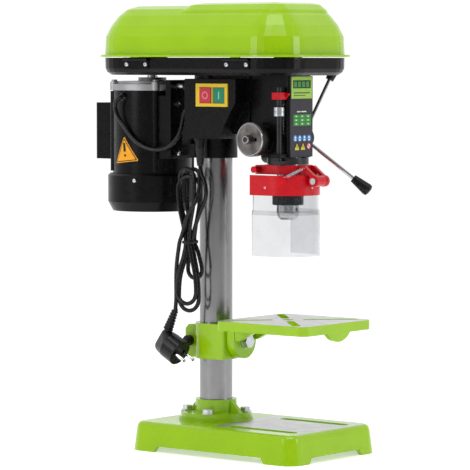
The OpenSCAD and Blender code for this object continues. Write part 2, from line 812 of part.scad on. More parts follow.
module lever_knobs() placed() color([0.03, 0.03, 0.03]) {
    for (a = lever_angles)
        on_lever(a) rotate_extrude() polygon([[0, 96], [3, 96], [3, 90], [5.6, 90], [8.6, 114], [7.8, 118],
            [4, 119.5], [0, 119.5]]);
}

// Spiral return spring inside its cap
spring_turns = 3;
function spiral(i, n, r0, r1, w) =
    [for (k = [0 : n]) (r0 + (r1 - r0) * k / n + w) * [cos(i * k), sin(i * k)]];
module return_spring() placed() color(dark_steel) {
    n = 54;
    translate([-48, pinion_y, pinion_z]) rotate([90, 0, 90]) linear_extrude(6)
        polygon(concat(spiral(360 * spring_turns / n, n, 8.2, 18.2, 0),
            [for (p = [n : -1 : 0]) spiral(360 * spring_turns / n, n, 8.2, 18.2, 0.7)[p]]));
}

module spring_cap() placed() color([0.42, 0.40, 0.38]) {
    difference() {
        union() {
            rod_x(23.5, -50.5, boss_x[0] - 0.1, pinion_y, pinion_z);
            rod_x(22.3, -51.5, -50, pinion_y, pinion_z);
        }
        rod_x(20.5, -49, boss_x[0] + 1, pinion_y, pinion_z);
        rod_x(4 + fit, -53, -40, pinion_y, pinion_z);
        rod_x(2.4, -53, -45, pinion_y - 10, pinion_z);
    }
    for (x = [-56, -61])
        difference() {
            translate([x, pinion_y, pinion_z]) rotate([0, 90, 0]) hex(11, 0, 4.4);
            rod_x(4 + fit, x - 1, x + 6, pinion_y, pinion_z);
        }
}

// ---------------------------------------------------------------- depth stop and guard

module depth_collar() placed() color(dark_steel) {
    difference() {
        union() {
            translate([0, spin_y, 0]) rod(28.5, 400, 408.5);
            box([stop_x - 7, stop_y - 7, 400], [-15, stop_y + 7, 405]);
        }
        translate([0, spin_y, 0]) rod(quill_r, 399, 410);
        translate([stop_x, stop_y, 0]) rod(4, 399, 410);
        box([-1.5, spin_y + 15, 399], [1.5, spin_y + 30, 410]);
    }
}

module depth_rod() placed() color(black) {
    translate([stop_x, stop_y, 0]) {
        rod(4, 399.6, 505);
    }
}

module depth_nuts() placed() color(steel) {
    translate([stop_x, stop_y, 0]) difference() {
        union() {
            rod(7.6, 466, 471.6);
            rod(7.6, 472.2, 478);
            rod(6, 471.5, 472.3);
        }
        rod(4 + fit, 465, 479);
    }
}

module depth_pointer() placed() color(red) {
    difference() {
        union() {
            box([stop_x - 7, stop_y - 8, 488.5], [-27, stop_y + 7, 498]);
            side_plate(-29.5, -27, [[stop_y - 8, 489.5], [stop_y - 13, 495.5], [stop_y - 13, 497], [stop_y - 7, 498]]);
        }
        translate([stop_x, stop_y, 0]) rod(4, 487, 499);
    }
}

lug_x = [8, 13];

module guard_collar() placed() color(red) {
    difference() {
        union() {
            translate([0, spin_y, 386.5]) linear_extrude(12.5) {
                circle(r = 34);
                translate([-34, 0]) square([68, 30]);
            }
            for (x = [-lug_x[1], lug_x[0]]) {
                side_plate(x, x + 5, [[spin_y - 20, 387], [spin_y - 20, 398.5], [spin_y - 38, 398.5],
                    [hinge_y - 8, hinge_z + 2], [hinge_y - 2, hinge_z - 7.5], [spin_y - 47, hinge_z - 2],
                    [spin_y - 46, 387]]);
                rod_x(8, x, x + 5, hinge_y, hinge_z);
            }
        }
        translate([0, spin_y, 0]) rod(quill_r, 386, 400);
        box([-1.5, spin_y + 15, 386], [1.5, spin_y + 31, 400]);
        for (x = [-lug_x[1], lug_x[0]])
            rod_x(2.5, x - 1, x + 6, hinge_y, hinge_z);
        box([-35, spin_y + 19.5, 389], [-29, spin_y + 28.5, 397]);
    }
    rod_x(2.6, -46, 34, spin_y + 24, 393);
    rod_x(4.6, -46, -41.5, spin_y + 24, 393);
    rod_x(2, -20, -lug_x[1] + 1, spin_y - 36.5, 394.5);
}

module guard_holder() placed() color(red) {
    difference() {
        union() {
            u_wall(guard_r, guard_r - 2, guard_back, 358, 385.5);
            rod_x(7.5, -7.4, 7.4, hinge_y, hinge_z);
            box([-7.4, hinge_y, hinge_z - 7.5], [7.4, spin_y - guard_r + 1.2, hinge_z + 1]);
        }
        rod_x(2.5 + fit, -8, 8, hinge_y, hinge_z);
    }
    translate([0, spin_y, 0]) rotate([0, 0, 212]) rod_x(2.5, 43, 55, 0, 380);
}

module guard_pin() placed() color(steel) {
    rod_x(2.5, -13.2, 13.2, hinge_y, hinge_z);
    rod_x(4.4, -15.5, -13.1, hinge_y, hinge_z);
    rod_x(4.4, 13.1, 15.5, hinge_y, hinge_z);
}

module shield_upper() placed() color(clear) u_wall(41.9, 40.1, 28, 331, 374);

module shield_lower() placed() color(clear) u_wall(44, 42.3, 28, 275, 337.5);

module guard_spring() placed() color(steel) {
    a = [-39.8, spin_y - 29.4, 384.4];
    b = [-16.5, spin_y - 37.5, 394.5];
    tube([for (k = [0 : 6]) a + (b - a) * k / 6], 2.3, 12);
}

// ---------------------------------------------------------------- table

module table_slots() {
    for (a = [45, 135, 225, 315]) rotate(a) {
        out = a > 180 ? 92 : 82;
        translate([26, -table_slot / 2]) square([out - 26, table_slot]);
        translate([26, 0]) circle(r = table_slot / 2);
        translate([out, 0]) circle(r = table_slot / 2);
    }
}

module table_plate() placed() color(green) {
    lug = 32;
    difference() {
        union() {
            translate([0, 0, table_z - 13]) linear_extrude(13)
                round_rect(table_w, -table_front, -table_back, 12);
            // half-round lug in the front rim
            intersection() {
                rod_y(lug, -table_front, 7 - table_front, 0, table_z - 25 + lug);
                box([-25, -table_front, table_z - 26], [25, 8 - table_front, table_z - 12]);
            }
            // tilt disc and the ribs that carry it
            rod_y(24, -52, -38, 0, tilt_z);
            box([-24, -52, tilt_z], [24, -38, table_z - 8]);
            box([-24, -90, table_z - 13], [24, -38, table_z - 6]);
            for (x = [-23, 16])
                side_plate(x, x + 7, [[-38, tilt_z + 2], [-60, tilt_z + 2], [-100, table_z - 12], [-38, table_z - 8]]);
        }
        difference() {
            translate([0, 0, table_z - 14]) linear_extrude(8)
                round_rect(table_w - 10, 5 - table_front, -table_back - 5, 8);
            translate([0, spin_y, 0]) rod(18, table_z - 14, table_z);
            box([-24, -104, table_z - 20], [-14, -38, table_z]);
            box([14, -104, table_z - 20], [24, -38, table_z]);
        }
        translate([0, spin_y, table_z - 20]) linear_extrude(30) table_slots();
        translate([0, spin_y, 0]) rod(7.5, table_z - 20, table_z + 1);
        rod_y(6 + fit, -53, -37, 0, tilt_z);
    }
}

module table_bracket() placed() color(green) {
    difference() {
        union() {
            rod(bracket_r, bracket_z[0], bracket_z[1]);
            translate([0, 0, 127]) linear_extrude(49) round_rect(62, -37.5, 8, 4);
            for (x = [-14, 3])
                side_plate(x, x + 11, [[20, 126], [38, 126], [44, 132], [44, 166], [38, 172], [20, 172]]);
        }
        rod(col_r + fit, 120, 190);
        box([-3, 15, 120], [3, 50, 190]);
        rod_x(4.1, -20, 20, 36, 149);
        rod_x(8.6, 14, 34, 36, 149);
        rod_x(8.1, -34, -14, 36, 149);
        rod_y(6, -38, -25, 0, tilt_z);
    }
}

module tilt_bolt() placed() color(steel) {
    rod_y(6, -60, -25, 0, tilt_z);
    rod_y(10, -54.2, -52.4, 0, tilt_z);
    translate([0, -54.2, tilt_z]) rotate([90, 0, 0]) hex(17, 0, 7);
}

module table_clamp_lever() placed() color(dark_steel) {
    rod_x(4, -22, 26, 36, 149);
    rod_x(7.5, -21, -14.3, 36, 149);
    rod_x(8, 14.3, 27, 36, 149);
    translate([21, 36, 149]) {
        rod(3.5, 6, 58);
        rotate_extrude() polygon([[0, 50], [6, 50], [8, 62], [8, 72], [5, 76], [0, 76]]);
    }
}

// ---------------------------------------------------------------- mains lead

module cord_gland() placed() color([0.05, 0.05, 0.05]) {
    translate([-46, -9.5, 0]) {
        rotate_extrude() polygon([[0, 396], [4.4, 396], [5.4, 404], [7.2, 420], [7.4, 430], [9.5, 430.5], [9.5, 434],
            [0, 434]]);
    }
}

module power_cord() placed() color([0.04, 0.04, 0.04]) {
    tube(lead_route, lead_d / 2, 10);
    tube(tail_route, lead_d / 2, 10);
}

module cord_hank() placed() color([0.06, 0.06, 0.06]) {
    translate([hank_x - hank_t / 2, 0, 0]) rotate([90, 0, 90]) linear_extrude(hank_t) {
        translate([hank_top[0], hank_top[1]]) circle(r = hank_top[2]);
        translate([hank_foot[0], hank_foot[1]]) circle(r = hank_foot[2]);
        polygon([[hank_top[0] - hank_top[2], hank_top[1]], [hank_waist[0], 300], [hank_waist[0], 282],
            [hank_foot[0] - hank_foot[2], hank_foot[1]], [hank_foot[0] + hank_foot[2], hank_foot[1]],
            [hank_waist[1], 282], [hank_waist[1], 300], [hank_top[0] + hank_top[2], hank_top[1]]]);
    }
}

module mains_plug() placed() color([0.05, 0.05, 0.05]) {
    // strain relief, body and the two round pins of an angled earthed plug
    hull() {
        translate([-52, 30.7, 195]) rotate([-15, 0, 0]) cylinder(r = 4, h = 0.02, center = true, $fn = 24);
        translate([-53.5, 46, 160]) rotate([-28, 0, 0]) cylinder(r = 7, h = 0.02, center = true, $fn = 24);
    }
    hull() {
        translate([-53.5, 46, 160]) sphere(r = 7.2, $fn = 24);
        translate([-54, 52, 143.5]) sphere(r = 11, $fn = 24);
        translate([-54, 39.4, 145]) rotate([119, 0, 0]) cylinder(r = 18.5, h = 21, $fn = 40);
    }
    for (x = [-9.5, 9.5])
        translate([-54 + x, 22.5, 135.6]) rotate([119, 0, 0]) cylinder(r = 2.4, h = 20.5);
}

// ---------------------------------------------------------------- output

base_casting();
column_flange();
flange_bolts();
column_tube();
head_casting();
front_panel();
depth_scale();
sleeve_bearings();
pulley_pan();
cover_hinges();
belt_cover();
spindle_pulley();
motor_pulley();
v_belt();
motor_housing();
motor_top_bell();
motor_fan_cover();
motor_stator();
capacitor_box();
motor_plate();
slide_bars();
motor_rotor();
motor_fan();
motor_lead();
tension_lock_screw();
switch_frame();
stop_button();
start_button();
quill();
quill_bearings();
spindle();
chuck_body();
chuck_sleeve();
chuck_jaw_1();
chuck_jaw_2();
chuck_jaw_3();
pinion_shaft();
feed_hub();
feed_levers();
lever_knobs();
return_spring();
spring_cap();
depth_collar();
depth_rod();
depth_nuts();
depth_pointer();
guard_collar();
guard_holder();
guard_pin();
shield_upper();
shield_lower();
guard_spring();
table_plate();
table_bracket();
tilt_bolt();
table_clamp_lever();
cord_gland();
power_cord();
cord_hank();
mains_plug();
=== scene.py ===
"""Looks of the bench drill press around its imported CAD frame. Lengths below are in millimetres
from the column axis (+X the operator's right, -Y the front, +Z up) unless a name says otherwise."""
import json
import math

import bmesh
import bpy
from mathutils import Matrix, Vector


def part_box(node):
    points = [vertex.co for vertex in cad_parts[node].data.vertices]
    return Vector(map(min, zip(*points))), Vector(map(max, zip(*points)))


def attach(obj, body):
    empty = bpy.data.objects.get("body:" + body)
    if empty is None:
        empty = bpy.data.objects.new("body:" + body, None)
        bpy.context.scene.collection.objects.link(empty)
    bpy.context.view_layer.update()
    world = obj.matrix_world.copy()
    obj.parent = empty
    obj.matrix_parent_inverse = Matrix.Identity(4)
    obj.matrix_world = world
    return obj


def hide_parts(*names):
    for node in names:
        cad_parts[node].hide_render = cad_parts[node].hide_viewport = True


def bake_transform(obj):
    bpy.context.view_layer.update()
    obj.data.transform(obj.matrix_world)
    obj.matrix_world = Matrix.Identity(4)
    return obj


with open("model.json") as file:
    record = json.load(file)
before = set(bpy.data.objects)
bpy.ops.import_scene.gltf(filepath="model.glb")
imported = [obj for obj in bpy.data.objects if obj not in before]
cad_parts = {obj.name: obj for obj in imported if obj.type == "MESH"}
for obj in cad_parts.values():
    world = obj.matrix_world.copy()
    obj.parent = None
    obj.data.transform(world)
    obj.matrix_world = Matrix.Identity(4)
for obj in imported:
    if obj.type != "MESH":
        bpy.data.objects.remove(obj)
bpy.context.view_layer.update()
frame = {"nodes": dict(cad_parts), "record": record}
NODES = frame["nodes"]

lo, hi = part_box("column_tube")
COLUMN = Vector(((lo.x + hi.x) / 2, (lo.y + hi.y) / 2, 0))
X, Y, Z = Vector((1, 0, 0)), Vector((0, 1, 0)), Vector((0, 0, 1))
SPINDLE_Y = -127


def at(x, y, z):
    """A place given in millimetres from the column axis, in metres in the shared frame."""
    return COLUMN + Vector((x, y, z)) / 1000


# ------------------------------------------------------------------ camera

cam = bpy.data.cameras.new("camera")
cam.lens = 226.64
cam.sensor_width = 36
cam.clip_end = 50
camera = bpy.data.objects.new("camera", cam)
camera.location = at(-3195.5, -2609.6, 551.8)
camera.rotation_euler = (math.radians(90 - 3.525), 0, math.radians(-51.13))
bpy.context.scene.collection.objects.link(camera)
bpy.context.scene.camera = camera
bpy.context.scene.view_settings.view_transform = "Standard"


# ------------------------------------------------------------------ mesh helpers

def add(name, bm, body, material=None, smooth=True):
    """A finished bmesh as a piece that rides on a body."""
    bmesh.ops.recalc_face_normals(bm, faces=bm.faces)
    mesh = bpy.data.meshes.new(name)
    bm.to_mesh(mesh)
    bm.free()
    for p in mesh.polygons:
        p.use_smooth = smooth
    if smooth:
        mesh.set_sharp_from_angle(angle=math.radians(35))
    piece = bpy.data.objects.new(name, mesh)
    bpy.context.scene.collection.objects.link(piece)
    if material:
        mesh.materials.append(material)
    if body:
        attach(piece, body)
    return piece


def lathe_into(bm, profile, origin, axis, steps=32, turn=0.0):
    """Turns a closed or axis-to-axis profile of (radius, height) in mm about an axis through origin."""
    axis = axis.normalized()
    side = axis.orthogonal().normalized()
    rings = []
    for r, h in profile:
        if r < 1e-6:
            rings.append([bm.verts.new(origin + axis * h / 1000)])
            continue
        ring = []
        for k in range(steps):
            a = turn + 2 * math.pi * k / steps
            ring.append(bm.verts.new(origin + Matrix.Rotation(a, 3,
                                                              axis) @ side * r / 1000 + axis * h / 1000))
        rings.append(ring)
    for a, b in zip(rings, rings[1:]):
        for k in range(steps):
            n = (k + 1) % steps
            if len(a) == 1 and len(b) == 1:
                continue
            if len(a) == 1:
                bm.faces.new([a[0], b[k], b[n]])
            elif len(b) == 1:
                bm.faces.new([a[k], a[n], b[0]])
            else:
                bm.faces.new([a[k], a[n], b[n], b[k]])
    return rings


def sweep_into(bm, points, radius, steps=12, closed=False, flat=1.0, up=None):
    """A tube, or with flat below 1 a strap, along points in metres; radius is in metres."""
    n = len(points)
    tangents = []
    for i in range(n):
        before, after = ((i - 1) % n, (i + 1) % n) if closed else (max(i - 1, 0), min(i + 1, n - 1))
        tangents.append((points[after] - points[before]).normalized())
    side = (up.cross(tangents[0]) if up else tangents[0].orthogonal()).normalized()
    rings = []
    for p, t in zip(points, tangents):
        side = (up.cross(t) if up else side - t * side.dot(t)).normalized()
        other = t.cross(side)
        rings.append([bm.verts.new(p + side * radius * flat * math.cos(2 * math.pi * k / steps)
                                   + other * radius * math.sin(2 * math.pi * k / steps)) for k in range(steps)])
    for i in range(n if closed else n - 1):
        a, b = rings[i], rings[(i + 1) % n]
        for k in range(steps):
            m = (k + 1) % steps
            bm.faces.new([a[k], a[m], b[m], b[k]])
    if not closed:
        bm.faces.new(rings[0])
        bm.faces.new(rings[-1][::-1])


def plate_into(bm, outline, origin, u, v, thick, edge=0.12, hole=None):
    """A thin plate with a softened front edge; outline is in mm along u and v, its front is along u x v."""
    out = u.cross(v).normalized()

    def ring(points, h, shrink):
        n = len(points)
        verts = []
        for i in range(n):
            p, a, b = Vector(points[i]), Vector(points[i - 1]), Vector(points[(i + 1) % n])
            d1, d2 = (p - a).normalized(), (b - p).normalized()
            inward = Vector((-(d1 + d2).y, (d1 + d2).x))
            if inward.length:
                turn = d1.angle_signed(d2) if d1.length and d2.length else 0
                inward = inward.normalized() / max(0.3, math.cos(turn / 2))
            q = p + inward * shrink
            verts.append(bm.verts.new(origin + (u * q.x + v * q.y + out * h) / 1000))
        return verts

    def walls(a, b):
        n = len(a)
        for i in range(n):
            j = (i + 1) % n
            bm.faces.new([a[i], a[j], b[j], b[i]])

    back, mid, front = ring(outline, 0, 0), ring(outline, thick - edge, 0), ring(outline, thick, edge)
    walls(back, mid)
    walls(mid, front)
    if hole is None:
        bm.faces.new(front)
        bm.faces.new(back[::-1])
        return
    h_back, h_front = ring(hole, 0, 0), ring(hole, thick, 0)
    walls(h_front, h_back)
    walls(front, h_front)
    walls(h_back, back)


def circle(r, cx=0.0, cy=0.0, n=32):
    return [(cx + r * math.cos(2 * math.pi * k / n),
             cy + r * math.sin(2 * math.pi * k / n)) for k in range(n)]


def rect(x0, y0, x1, y1, r=0.0, n=4):
    if r <= 0:
        return [(x0, y0), (x1, y0), (x1, y1), (x0, y1)]
    pts = []
    for cx, cy, a0 in ((x1 - r, y0 + r, -90), (x1 - r, y1 - r, 0), (x0 + r, y1 - r, 90),
                       (x0 + r, y0 + r, 180)):
        for k in range(n + 1):
            a = math.radians(a0 + 90 * k / n)
            pts.append((cx + r * math.cos(a), cy + r * math.sin(a)))
    return pts


def triangle(w, h, cx=0.0, cy=0.0, r=0.6):
    """A triangle standing on its base, its corners rounded, counter-clockwise from the left foot."""
    corners = [Vector((cx - w / 2, cy - h / 2)), Vector((cx + w / 2, cy - h / 2)), Vector((cx, cy + h / 2))]
    pts = []
    for i in range(3):
        p, a, b = corners[i], corners[i - 1], corners[(i + 1) % 3]
        for t in (0, 0.5, 1):
            pull = (a - p).normalized() * (1 - t) + (b - p).normalized() * t
            pts.append(tuple(p + pull * r * (1.0 if t != 0.5 else 0.9)))
    return pts


def smooth_path(points, step=2.0):
    """Points in mm on one smooth curve through the given ones, about step mm apart."""
    pts = [Vector(p) for p in points]
    pts = [pts[0] * 2 - pts[1]] + pts + [pts[-1] * 2 - pts[-2]]
    out = []
    for i in range(1, len(pts) - 2):
        p0, p1, p2, p3 = pts[i - 1:i + 3]
        t01, t12, t23 = [max((b - a).length, 1e-3) ** 0.5 for a, b in ((p0, p1), (p1, p2), (p2, p3))]
        m1 = (p2 - p1) + t12 * ((p1 - p0) / t01 - (p2 - p0) / (t01 + t12))
        m2 = (p2 - p1) + t12 * ((p3 - p2) / t23 - (p3 - p1) / (t12 + t23))
        n = max(1, round((p2 - p1).length / step))
        for k in range(n):
            t = k / n
            out.append((2 * (p1 - p2) + m1 + m2) * t ** 3 + (-3 * (p1 - p2) - 2 * m1 - m2) * t ** 2 + m1 * t + p1)
    out.append(pts[-2])
    return out


# ------------------------------------------------------------------ mains lead

LEAD_D = 5.8


def arc(layer, cy, cz, r, a0, a1, steps=10, drift=0.0):
    """Points on an arc in a plane of the hank; angles in degrees, 0 towards the back, 90 up."""
    pts = []
    for k in range(steps + 1):
        a = math.radians(a0 + (a1 - a0) * k / steps)
        pts.append((layer + drift * k / steps, cy + r * math.cos(a), cz + r * math.sin(a)))
    return pts


LEAD_ROUTE = [(-46, -9.5, 396), (-46, -10, 390), (-46.5, -13, 382), (-47, -18, 374), (-48, -21, 365),
              (-48, -21.5, 356), (-48, -19, 347), (-48, -14.5, 339), (-48, -10, 331), (-48, -6, 322),
              (-48, -2, 312)]
TAIL_ROUTE = [(-60, 9, 308), (-58.5, 14, 298), (-57.5, 18, 291), (-55.5, 22.5, 277), (-54, 26, 263),
              (-52.5, 28.5, 250), (-52, 29.3, 237), (-52, 29.3, 224), (-52, 29.2, 211), (-52, 30, 202),
              (-52, 30.7, 195)]
FRONT_Y, REAR_Y = 4.3, 10.1             # the two rows of strands where the tie holds them
A, B, C = -54, -48, -42                 # the hank's three layers, from the side outwards in

route = list(LEAD_ROUTE)
route += [(B, 2.2, 300), (B, FRONT_Y, 291), (B, 0, 272), (B, -6, 245)]
route += arc(B, 9.5, 212, 17.6, 180, 360, 10)
route += [(B, 25, 240), (B, 14, 272), (B, REAR_Y, 291), (B, 14.5, 312), (B, 22.5, 340)]
route += arc(B, 10.5, 376, 15.6, 0, 180, 10, A - B)
route += [(A, -4, 345), (A, 2.0, 315), (A, FRONT_Y, 291), (A, 0, 270), (A, -6, 246)]
route += arc(A, 8.5, 221, 16.5, 180, 360, 10)
route += [(A, 23, 246), (A, 13.5, 272), (A, REAR_Y, 291), (A, 14.5, 312), (A, 21.5, 338)]
route += arc(A, 9, 366, 15, 0, 180, 10, C - A)
route += [(C, -4, 340), (C, 2, 312), (C, FRONT_Y, 291), (C, -2, 276)]
route += arc(C, 3.5, 252, 12.5, 180, 360, 8)
route += [(C, 14.5, 270), (C, REAR_Y, 291), (C, 13.5, 312), (C, 17.5, 345), (C, 17, 372)]
route += arc(C, 4, 378, 13, 0, 150, 8, -4)
route += [(-50, -10, 362), (-56, -11, 350), (-60.5, -6, 338), (-61, 2, 325)]
route += TAIL_ROUTE

lead_points = smooth_path(route, 2.2)
curve = bpy.data.curves.new("mains_lead", "CURVE")
curve.dimensions = "3D"
curve.bevel_depth = 1.0                 # times each point's radius
curve.bevel_resolution = 4
curve.use_fill_caps = True
spline = curve.splines.new("POLY")
spline.points.add(len(lead_points) - 1)
for point, p in zip(spline.points, lead_points):
    point.co = (*at(*p), 1)
    point.radius = LEAD_D / 2000
spline.use_smooth = True
mains_lead = bpy.data.objects.new("mains_lead", curve)
bpy.context.scene.collection.objects.link(mains_lead)
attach(mains_lead, "stand")
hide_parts("power_cord", "cord_hank")

# cable tie: a flat band round the six strands, with its head and a short tail
bm = bmesh.new()
tie = [at(x, y, 290 + 1.2 * math.sin(y / 4)) for x, y in rect(-58.6, -0.4, -37.4, 14.8, 4.5, 6)]
sweep_into(bm, tie, 0.0017, 10, closed=True, flat=0.35, up=Z)
tie_band = add("cable_tie", bm, "stand")
bm = bmesh.new()
plate_into(bm, rect(-2.6, -2.4, 2.6, 2.4, 0.7), at(-58.4, 3.0, 290), -Y, Z, 3.0, 0.6)
plate_into(bm, rect(-1.2, 1.5, 1.2, 15.0, 0.8), at(-59.4, 1.2, 290), -Y, Z, 1.1, 0.3)
tie_head = add("cable_tie_head", bm, "stand")

# plug: bright pins with dark collars, moulded grip rings on its strain relief, earth strips
PLUG_TURN = math.radians(119)
PIN_DIR = Vector((0, -math.sin(PLUG_TURN), math.cos(PLUG_TURN)))
PLUG_UP = PIN_DIR.cross(X)
bm = bmesh.new()
for side in (-9.5, 9.5):
    lathe_into(bm, [(0, -0.5), (2.46, -0.5), (2.46, 19.6), (2.1, 20.5), (1.2, 20.9), (0, 20.9)],
               at(-54 + side, 22.5, 135.6), PIN_DIR, 24)
plug_pins = add("plug_pins", bm, "stand")
bm = bmesh.new()
for side in (-9.5, 9.5):
    lathe_into(bm, [(2.3, 0.2), (3.4, 0.2), (3.4, 1.9), (2.9, 2.6), (2.3, 2.6)],
               at(-54 + side, 21.4, 135), PIN_DIR, 24)
face = at(-54, 21.05, 134.83)
for turn in (0, 180):
    v = Matrix.Rotation(math.radians(turn), 3, PIN_DIR) @ PLUG_UP
    plate_into(bm, rect(-2.2, 13.4, 2.2, 16.8, 0.5), face, v.cross(PIN_DIR), v, 0.8, 0.25)
plug_face = add("plug_face_trim", bm, "stand")
bm = bmesh.new()
relief_top, relief_end = at(-52, 30.7, 195), at(-53.5, 46, 160)
relief_dir = (relief_end - relief_top).normalized()
relief_long = (relief_end - relief_top).length * 1000
for k in range(7):
    h = 3 + k * 4.4
    r = 4 + 3 * h / relief_long
    lathe_into(bm, [(r - 0.6, h - 1.2), (r + 0.7, h - 0.9), (r + 0.85, h), (r + 0.7, h + 0.9),
                    (r - 0.6, h + 1.2)],
               relief_top, relief_dir, 24)
plug_rings = add("plug_relief_rings", bm, "stand")


# the motor's own lead, one fixed tube on no body; the motor slides on its bars to slacken the belt, and only the
# lead's grommet moves with it
WHIP_D, WHIP_LENGTH = 6.0, 0.21
WHIP_ROUTE = [(-55, 121.5, 490), (-62, 122.5, 489.5), (-64.5, 128, 484.5), (-63.5, 131, 476),
              (-62.5, 128, 464.5),
              (-61.5, 122, 455), (-61.5, 114, 446), (-61, 104, 435), (-59.5, 93, 426), (-57, 81, 420),
              (-54.5, 68, 417), (-52.5, 55, 418), (-50, 42, 423), (-46, 33, 433), (-42.5, 28.5, 445),
              (-41, 26.5, 457), (-41, 24, 468), (-41, 19, 474), (-41, 12, 476)]
whip_points = [at(*p) for p in smooth_path(WHIP_ROUTE, 2.0)]
bm = bmesh.new()
sweep_into(bm, whip_points, WHIP_D / 2000, 14)
motor_whip = add("motor_whip", bm, None)
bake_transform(motor_whip)
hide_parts("motor_lead")
bm = bmesh.new()
lathe_into(bm, [(0, 6.2), (3.6, 6.0), (5.2, 4.4), (6.3, 2.0), (6.4, 0), (6.4, -3), (0, -3)],
           at(*WHIP_ROUTE[0]), -X, 24)
whip_grommet = add("motor_whip_grommet", bm, "motor")


# ------------------------------------------------------------------ materials

def srgb(r, g, b):
    """Linear colour from 8-bit screen values."""
    return tuple(c / 12.92 if c <= 0.04045 else ((c + 0.055) / 1.055) ** 2.4
                 for c in (r / 255, g / 255, b / 255))


class Tree:
    """A material's nodes, built by short calls."""

    def __init__(self, name):
        self.mat = bpy.data.materials.new(name)
        self.mat.use_nodes = True
        self.t = self.mat.node_tree
        self.t.nodes.clear()
        self.out = self.t.nodes.new("ShaderNodeOutputMaterial")
        self.coord = self.t.nodes.new("ShaderNodeTexCoord")

    def node(self, kind, inputs=None, **settings):
        n = self.t.nodes.new("ShaderNode" + kind)
        for k, v in settings.items():
            setattr(n, k, v)
        for k, v in (inputs or {}).items():
            if isinstance(v, bpy.types.NodeSocket):
                self.t.links.new(v, n.inputs[k])
            else:
                n.inputs[k].default_value = v
        return n

    def place(self, scale=(1, 1, 1)):
        """Object coordinates in millimetres, stretched."""
        return self.node("Mapping", {"Vector": self.coord.outputs["Object"],
                                     "Scale": [1000 * s for s in scale]}).outputs[0]

    def noise(self, size, detail=3.0, stretch=(1, 1, 1), rough=0.55):
        """Noise whose features are about size mm across."""
        return self.node("TexNoise", {"Vector": self.place(stretch), "Scale": 1.0 / size, "Detail": detail,
                                      "Roughness": rough}).outputs[0]

    def math(self, op, a, b=0.0):
        return self.node("Math", {0: a, 1: b}, operation=op).outputs[0]

    def spread(self, value, low, high, start=0.3, end=0.7):
        return self.node("MapRange", {"Value": value, "From Min": start, "From Max": end,
                                      "To Min": low, "To Max": high}).outputs[0]

    def tint(self, value, dark, light, start=0.35, end=0.65):
        n = self.node("ValToRGB", {"Fac": value})
        n.color_ramp.elements[0].position, n.color_ramp.elements[1].position = start, end
        n.color_ramp.elements[0].color, n.color_ramp.elements[1].color = (*dark, 1), (*light, 1)
        return n.outputs[0]

    def bump(self, height, depth, strength=1.0, normal=None):
        """depth in millimetres."""
        inputs = {"Height": height, "Strength": strength, "Distance": depth / 1000}
        if normal is not None:
            inputs["Normal"] = normal
        return self.node("Bump", inputs).outputs[0]

    def soft_edges(self, radius):
        return self.node("Bevel", {"Radius": radius / 1000}, samples=4).outputs[0]

    def principled(self, **inputs):
        names = {k.replace("_", " "): v for k, v in inputs.items()}
        return self.node("BsdfPrincipled", names).outputs[0]

    def inside(self, axis, low, high):
        """1 where the object coordinate, in mm from the column axis, is between low and high."""
        sep = self.node("SeparateXYZ", {0: self.coord.outputs["Object"]}).outputs["XYZ".index(axis)]
        shift = COLUMN["XYZ".index(axis)]
        return self.math("MULTIPLY", self.math("GREATER_THAN", sep, low / 1000 + shift),
                         self.math("LESS_THAN", sep, high / 1000 + shift))

    def facing_up(self):
        z = self.node("SeparateXYZ", {0: self.coord.outputs["Normal"]}).outputs[2]
        return self.math("GREATER_THAN", z, 0.9)

    def done(self, shader):
        self.t.links.new(shader, self.out.inputs[0])
        return self.mat


def shade(c, k):
    return tuple(min(1.0, v * k) for v in c)


def paint_shader(t, colour, rough=(0.2, 0.34), peel=1.6, depth=0.03, coat=0.12, edge=0.9, dust=0.05,
                 sheen=0.28):
    """Sprayed paint on metal: orange peel, faint colour drift, softened edges."""
    colour_out = t.tint(t.noise(38, 2), shade(colour, 1 - dust), shade(colour, 1 + dust))
    normal = t.bump(t.noise(peel, 2), depth, 1.0, t.soft_edges(edge))
    return t.principled(Base_Color=colour_out, Roughness=t.spread(t.noise(9, 4), *rough), Coat_Weight=coat,
                        Coat_Roughness=0.12, Specular_IOR_Level=sheen, Normal=normal)


def steel_shader(t, colour, rough=(0.22, 0.36), stretch=(1, 1, 1), size=0.5, depth=0.01, edge=0.0,
                 stain=0.08):
    """Bare metal with its tool marks; stretch below 1 along the marks."""
    marks = t.noise(size, 3, stretch)
    colour_out = t.tint(t.noise(16, 3), shade(colour, 1 - stain), shade(colour, 1 + stain))
    normal = t.bump(marks, depth, 1.0, t.soft_edges(edge) if edge else None)
    return t.principled(Base_Color=colour_out, Metallic=1.0, Roughness=t.spread(marks, *rough), Normal=normal)


def paint(name, colour, **how):
    t = Tree(name)
    return t.done(paint_shader(t, colour, **how))


def steel(name, colour, **how):
    t = Tree(name)
    return t.done(steel_shader(t, colour, **how))


def plastic(name, colour, rough=(0.3, 0.45), grain=0.5, depth=0.02, edge=0.5, coat=0.0, drift=0.05,
            sheen=0.3):
    t = Tree(name)
    colour_out = t.tint(t.noise(12, 2), shade(colour, 1 - drift), shade(colour, 1 + drift))
    normal = t.bump(t.noise(grain, 2), depth, 1.0, t.soft_edges(edge) if edge else None)
    return t.done(t.principled(Base_Color=colour_out, Roughness=t.spread(t.noise(4, 4), *rough),
                               Coat_Weight=coat,
                               Specular_IOR_Level=sheen, Normal=normal))


GREEN = srgb(150, 193, 8)
BLACK = srgb(12, 12, 13)
STEEL = (0.56, 0.56, 0.57)
MACHINED = (0.60, 0.60, 0.61)

